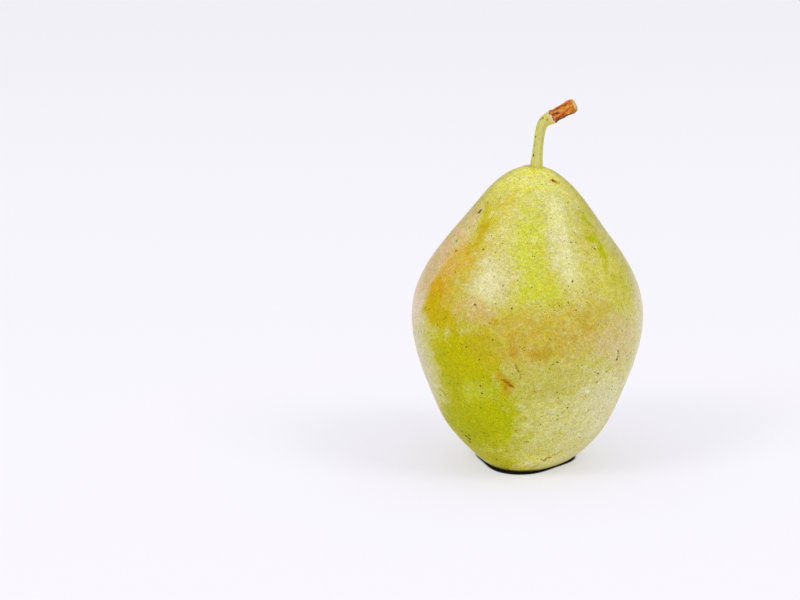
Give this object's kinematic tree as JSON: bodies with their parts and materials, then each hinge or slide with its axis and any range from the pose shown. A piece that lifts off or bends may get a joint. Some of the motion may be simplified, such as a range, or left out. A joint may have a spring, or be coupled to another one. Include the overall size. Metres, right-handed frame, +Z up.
{
  "type": "pear",
  "caption": "Whole fresh pear standing upright: a spindle-shaped yellow-green fruit with a bent woody stem and a dried calyx in the basin under it.",
  "frame": {"origin": "on the standing surface, under the middle of the pear's outline box", "axes": "+Z up along the fruit's axis to the stem; -Y towards the front side, +X to its right, where the stem bends"},
  "size_m": [0.0678, 0.067, 0.1081],
  "materials": {
    "skin": "thin waxy fruit skin, yellow-green with a faint tan blush and fine brown dots",
    "stem": "smooth green stalk ending in rough red-brown spur wood",
    "calyx": "dry dark brown sepals and stamens"
  },
  "bodies": {
    "root": {"fruit": "skin", "stem": "stem", "calyx": "calyx"}
  },
  "joints": []
}
